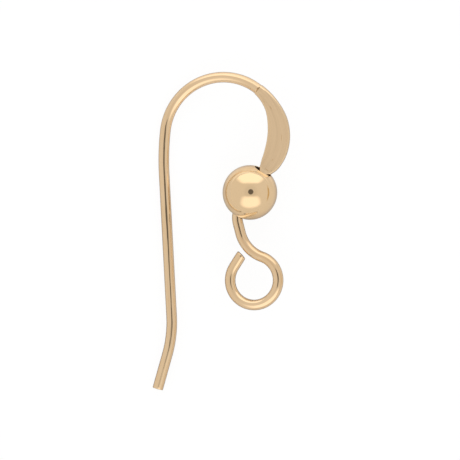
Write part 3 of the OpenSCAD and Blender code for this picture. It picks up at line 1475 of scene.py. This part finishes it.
@dataclass(frozen=True)
class BallBead:
    """The hollow ball that is threaded on the wire. Sizes in millimetres, turns in degrees.

    Attributes:
        wall: Its wall.
        hole_radius: Radius of the hole through it.
        hole_heading: Heading of the hole.
        hole_tip: Turn of the hole's upper mouth towards the face.
        rim: Rounding of the hole's rims.
        steps: Segments round the hole's axis.
        arc_steps: Segments from hole to hole.
    """

    wall: float = 0.25
    hole_radius: float = 0.53
    hole_heading: float = 31.7
    hole_tip: float = 3.5
    rim: float = 0.03
    steps: int = 160
    arc_steps: int = 96

    def _bore(self, plane: WirePlane) -> Bore:
        """Works out how the ball's hole lies.

        Args:
            plane: The wire's plane.

        Returns:
            The hole's line.
        """
        beside = plane.direction(self.hole_heading + 90)
        turn = Matrix.Rotation(math.radians(self.hole_tip), 3, beside)
        axis = turn @ plane.direction(self.hole_heading)
        return Bore(plane.middle, axis, beside, turn @ plane.face)

    def _arc(self, bm: BMesh, bore: Bore, radius: float) -> tuple[Vert, Vert]:
        """Spins a vertex from the upper hole's edge to the lower one's.

        Args:
            bm: The mesh.
            bore: The hole's line.
            radius: The arc's radius, in metres.

        Returns:
            The arc's first and last vertices.
        """
        hole = self.hole_radius * MM
        mouth = math.sqrt(radius * radius - hole * hole)
        edge = bore.middle + mouth * bore.axis + hole * bore.beside
        first = bmesh.ops.create_vert(bm, co=edge)["vert"][0]
        turn = -(math.pi - 2 * math.asin(hole / radius))
        made = spin(bm, [first], bore.middle, bore.across, turn, self.arc_steps)
        return first, next(part for part in made if isinstance(part, Vert))

    def _round_rims(self, bm: BMesh, bore: Bore) -> None:
        """Rounds the rims of the hole, outside and inside.

        Args:
            bm: The ball's mesh.
            bore: The hole's line.
        """
        hole = self.hole_radius * MM
        rims = []
        for edge in bm.edges:
            one, other = (vert.co for vert in edge.verts)
            level = abs((one - other).dot(bore.axis)) < NEAR
            if level and all(abs(bore.out(end) - hole) < NEAR for end in (one, other)):
                rims.append(edge)
        bmesh.ops.bevel(
            bm,
            geom=rims,
            offset=self.rim * MM,
            offset_type="OFFSET",
            segments=4,
            profile=0.5,
            affect="EDGES",
            material=-1,
            clamp_overlap=True,
        )

    def _line_hole(self, bm: BMesh, bore: Bore, radius: float) -> None:
        """Gives the hole's wall and the ball's inside their own material.

        Args:
            bm: The ball's mesh.
            bore: The hole's line.
            radius: The ball's radius, in metres.
        """
        skin = radius - 1.2 * self.rim * MM
        half_wall = radius - 0.5 * self.wall * MM
        for face in bm.faces:
            face.smooth = True
            middle = face.calc_center_median()
            deep = (middle - bore.middle).length
            in_hole = deep < skin and bore.out(middle) < self.hole_radius * MM + TOUCHING
            face.material_index = int(in_hole or deep < half_wall)

    def build(self, plane: WirePlane, effects: GoldEffects) -> bpy.types.Object:
        """Builds and dresses the ball.

        Args:
            plane: The wire's plane, whose middle is the ball's centre.
            effects: The shared shader groups.

        Returns:
            The piece.
        """
        low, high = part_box("bead")
        radius = (high - low).z / 2
        bm = bmesh.new()
        bore = self._bore(plane)
        outer = self._arc(bm, bore, radius)
        inner = self._arc(bm, bore, radius - self.wall * MM)
        for pair in zip(outer, inner):
            bmesh.ops.contextual_create(bm, geom=list(pair))
        spin(bm, [*bm.verts, *bm.edges], bore.middle, bore.axis, math.tau, self.steps, merge=True)
        bmesh.ops.remove_doubles(bm, verts=bm.verts, dist=TOUCHING)
        bmesh.ops.recalc_face_normals(bm, faces=bm.faces)
        self._round_rims(bm, bore)
        self._line_hole(bm, bore, radius)
        gold = GoldFinish(
            "polished_gold",
            pale=(0.98, 0.712, 0.425),
            deep=(0.97, 0.697, 0.405),
            gloss=0.05,
            haze=0.06,
            mark_depth=6e-8,
            hairlines=0.4,
            ripple_depth=9e-6,
            edge=(0.9, 0.92, 0.95),
        )
        looks = [gold.dress(effects), BoreFinish("tarnished_bore").dress()]
        return make_piece(PieceName.BALL, bm, looks)


@dataclass(frozen=True)
class SoftBox:
    """A soft panel of the studio, as a direction and its spread.

    Attributes:
        zenith: Degrees down from overhead to its middle.
        azimuth: Degrees from +Y towards +X to its middle.
        shift: Sideways shift of its middle, as a tangent.
        width: Half its width, as a tangent.
        height: Half its height, as a tangent.
        edge: Softness of its edge.
        glow: Its luminance in red, green and blue.
        corner: How square its corners are, 2 for round.
        taper: How much narrower it gets upwards.
        least: Least share of the gaze towards it, and least half width, that count.
    """

    zenith: float
    azimuth: float
    shift: float
    width: float
    height: float
    edge: float
    glow: Triple
    corner: float
    taper: float = 0.0
    least: float = 0.05

    def mask(self, graph: Graph, gaze: Socket) -> Socket:
        """Where the panel is seen.

        Args:
            graph: The world's graph.
            gaze: The direction that is looked in.

        Returns:
            The panel's mask.
        """
        turn = Matrix.Rotation(-math.radians(self.azimuth), 3, "Z")
        lower = Matrix.Rotation(-math.radians(self.zenith), 3, "X")
        middle, upright = (turn @ lower @ Vector(axis) for axis in ((0, 0, 1), (0, -1, 0)))
        aside = turn @ Vector((1, 0, 0))
        facing = graph.dot(gaze, middle)
        near = graph.math("MAXIMUM", facing, self.least)
        x = graph.math("DIVIDE", graph.dot(gaze, aside), near)
        y = graph.math("DIVIDE", graph.dot(gaze, upright), near)
        half = graph.math("MULTIPLY_ADD", y, -self.taper, self.width)
        half = graph.math("MAXIMUM", half, self.least)
        x = graph.math("DIVIDE", graph.off(x, self.shift), half)
        y = graph.math("DIVIDE", graph.math("ABSOLUTE", y), self.height)
        x, y = (graph.math("POWER", side, self.corner) for side in (x, y))
        spread = graph.math("POWER", graph.math("ADD", x, y), 1 / self.corner)
        inside = graph.ease(spread, 1 + self.edge, 1 - self.edge)
        return graph.math("MULTIPLY", inside, graph.math("GREATER_THAN", facing, self.least))


@dataclass(frozen=True)
class PaintedGlow:
    """A stretch of table behind the object with a painted pool of light, as if the back box lit it
    more. Sizes in metres.

    Attributes:
        gain: How much brighter it gets.
        back: Distance back where it starts, and where it is full.
        middle: Distance of its middle to the right.
        aside: Distance from its middle where it starts, and where it is full.
    """

    gain: float
    back: Pair
    middle: float
    aside: Pair

    def mask(self, graph: Graph, right: Socket, back: Socket) -> Socket:
        """How much brighter the table is, by the distances to the right and back."""
        glow = graph.ease(back, *self.back, high=self.gain)
        return graph.math("MULTIPLY", glow, graph.ease(graph.off(right, self.middle), *self.aside))


@dataclass(frozen=True)
class Studio:
    """The pale table, the soft studio light and the camera overhead.

    Attributes:
        surround: Luminance of the white surround.
        overhead: Luminance round the lens.
        overhead_edge: Degrees from the lens where that starts, and where it is full.
        lens: Luminance of the lens.
        lens_edge: Degrees from the lens's middle where it starts, and where it is full.
        lens_lean: Direction of the lens from the object.
        back_box: The soft box behind the object.
        front_box: The soft box before it.
        warm_strip: The faint warm strip on its right.
        table_tone: Reflectance of the table at a glancing look.
        table_dip: Its reflectance looked at straight on, lowered as painted shade for the table
            that the object's outlines see beneath them.
        painted_glows: Where a pool of light is painted on it.
        table_seen: Reflectance of the table as the camera sees it.
        table_lift: Its own light as the camera sees it.
        table_size: Half the table's side, in metres.
        aim: Plan point that the camera looks at, in metres.
        view_width: Width of the view on the object, in metres.
        focus_height: Height of the object's middle, in metres.
        distance: Height of the camera, in metres.
        sensor: Width of the camera's sensor, in millimetres.
    """

    surround: float = 0.72
    overhead: float = 0.655
    overhead_edge: Pair = (34.0, 14.0)
    lens: float = 0.14
    lens_edge: Pair = (12.4, 10.6)
    lens_lean: Triple = (0.0576, 0.0489, 0.9971)
    back_box: SoftBox = SoftBox(
        zenith=70.5,
        azimuth=0.0,
        shift=0.02,
        width=0.9,
        height=0.57,
        edge=0.28,
        glow=(1.2, 1.2, 1.2),
        corner=4.0,
        taper=0.35,
    )
    front_box: SoftBox = SoftBox(
        zenith=43.0,
        azimuth=180.0,
        shift=-0.08,
        width=0.74,
        height=0.46,
        edge=0.38,
        glow=(1.15, 1.15, 1.15),
        corner=4.0,
    )
    warm_strip: SoftBox = SoftBox(
        zenith=86.0,
        azimuth=90.0,
        shift=0.05,
        width=0.4,
        height=0.08,
        edge=0.45,
        glow=(0.56, 0.44, 0.26),
        corner=2.0,
    )
    table_tone: float = 0.86
    table_dip: float = 0.7
    painted_glows: tuple[PaintedGlow, PaintedGlow] = (
        PaintedGlow(gain=0.26, back=(8 * MM, 13 * MM), middle=0.0, aside=(22 * MM, 12 * MM)),
        PaintedGlow(gain=0.22, back=(2.5 * MM, 5 * MM), middle=1.6 * MM, aside=(6 * MM, 3 * MM)),
    )
    table_seen: Triple = (0.12, 0.12, 0.12)
    table_lift: float = 0.91
    table_size: float = 2.0
    aim: Pair = (0.504 * MM, 0.055 * MM)
    view_width: float = 26.047 * MM
    focus_height: float = 1.0 * MM
    distance: float = 1.0
    sensor: float = 36.0

    def light(self) -> None:
        """Fills the world with a white surround, the soft panels and the dark lens."""
        world = bpy.data.worlds.new("studio_surround")
        bpy.context.scene.world = world
        world.use_nodes = True
        graph = Graph(world.node_tree)
        gaze = graph.add("ShaderNodeTexCoord").outputs["Generated"]
        upwards = graph.dot(gaze, self.lens_lean)
        near, hood = (
            [math.cos(math.radians(angle)) for angle in edge]
            for edge in (self.overhead_edge, self.lens_edge)
        )
        level = graph.ease(upwards, *near, low=self.surround, high=self.overhead)
        dark = graph.math("SUBTRACT", self.lens, level)
        level = graph.math("MULTIPLY_ADD", dark, graph.ease(upwards, *hood), level)
        colour = graph.grey(level)
        for panel in (self.back_box, self.front_box, self.warm_strip):
            colour = graph.blend(panel.mask(graph, gaze), colour, panel.glow)
        soft = graph.add("ShaderNodeBackground", {"Color": colour, "Strength": 1.0})
        plain = graph.add("ShaderNodeBackground", {"Color": WHITE, "Strength": 1.0})
        graph.add("ShaderNodeOutputWorld", {"Surface": graph.for_camera(soft, plain)})

    def table(self) -> bpy.types.Object:
        """Lays the plain pale table under the ear wire.

        Returns:
            The table.
        """
        bm = bmesh.new()
        bmesh.ops.create_grid(bm, x_segments=1, y_segments=1, size=self.table_size)
        material, graph = start_material("pale_table")
        # Darker looked at straight on: painted shade for the table that the object's outlines
        # reflect.
        glance = graph.add("ShaderNodeLayerWeight", {"Blend": 0.5}).outputs["Facing"]
        tone = graph.ease(glance, start=0.0, end=0.4, low=self.table_dip, high=self.table_tone)
        right, back = graph.add("ShaderNodeSeparateXYZ", {0: graph.here()}).outputs[:2]
        painted_glows = (glow.mask(graph, right, back) for glow in self.painted_glows)
        # Painted pools of light on the table behind the object.
        tone = graph.math("ADD", tone, graph.math("MAXIMUM", *painted_glows))
        matt = graph.add("ShaderNodeBsdfDiffuse", {"Color": graph.grey(tone)})
        faint = graph.add("ShaderNodeBsdfDiffuse", {"Color": (*self.table_seen, 1.0)})
        bright = graph.add("ShaderNodeEmission", {"Color": WHITE, "Strength": self.table_lift})
        lit = graph.add("ShaderNodeAddShader", {0: faint.outputs[0], 1: bright.outputs[0]})
        graph.add("ShaderNodeOutputMaterial", {"Surface": graph.for_camera(matt, lit)})
        return make_piece(PieceName.TABLE, bm, [material])

    def camera(self) -> bpy.types.Object:
        """Hangs the camera overhead, looking straight down.

        Returns:
            The camera.
        """
        data = bpy.data.cameras.new("overhead_camera")
        data.sensor_width = self.sensor
        data.lens = self.sensor * (self.distance - self.focus_height) / self.view_width
        data.clip_start = 0.01
        camera = bpy.data.objects.new("overhead_camera", data)
        camera.location = (*self.aim, self.distance)
        bpy.context.scene.collection.objects.link(camera)
        bpy.context.scene.camera = camera
        bpy.context.scene.view_settings.view_transform = "Standard"
        return camera


def report(piece: bpy.types.Object) -> None:
    """Reports a finished piece through the log."""
    mesh = piece.data
    log.info("%s: %d vertices, %d faces", piece.name, len(mesh.vertices), len(mesh.polygons))


def main() -> None:
    """Builds the ear wire and its studio, hangs the wire and ball from their body and hides the
    imported parts.
    """
    logging.basicConfig(level=logging.INFO, format="%(name)s %(message)s")
    studio = Studio()
    log.info("camera %s", studio.camera().name)
    effects = GoldEffects()
    wire = BentWire()
    plane = WirePlane.as_packed(wire.rest_heading())
    hook = wire.build(plane, effects)
    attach(hook, BODY)
    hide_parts("ear_hook")
    report(hook)
    ball = BallBead().build(plane, effects)
    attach(ball, BODY)
    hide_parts("bead")
    report(ball)
    table = studio.table()
    report(table)
    studio.light()


if __name__ == "__main__":
    main()
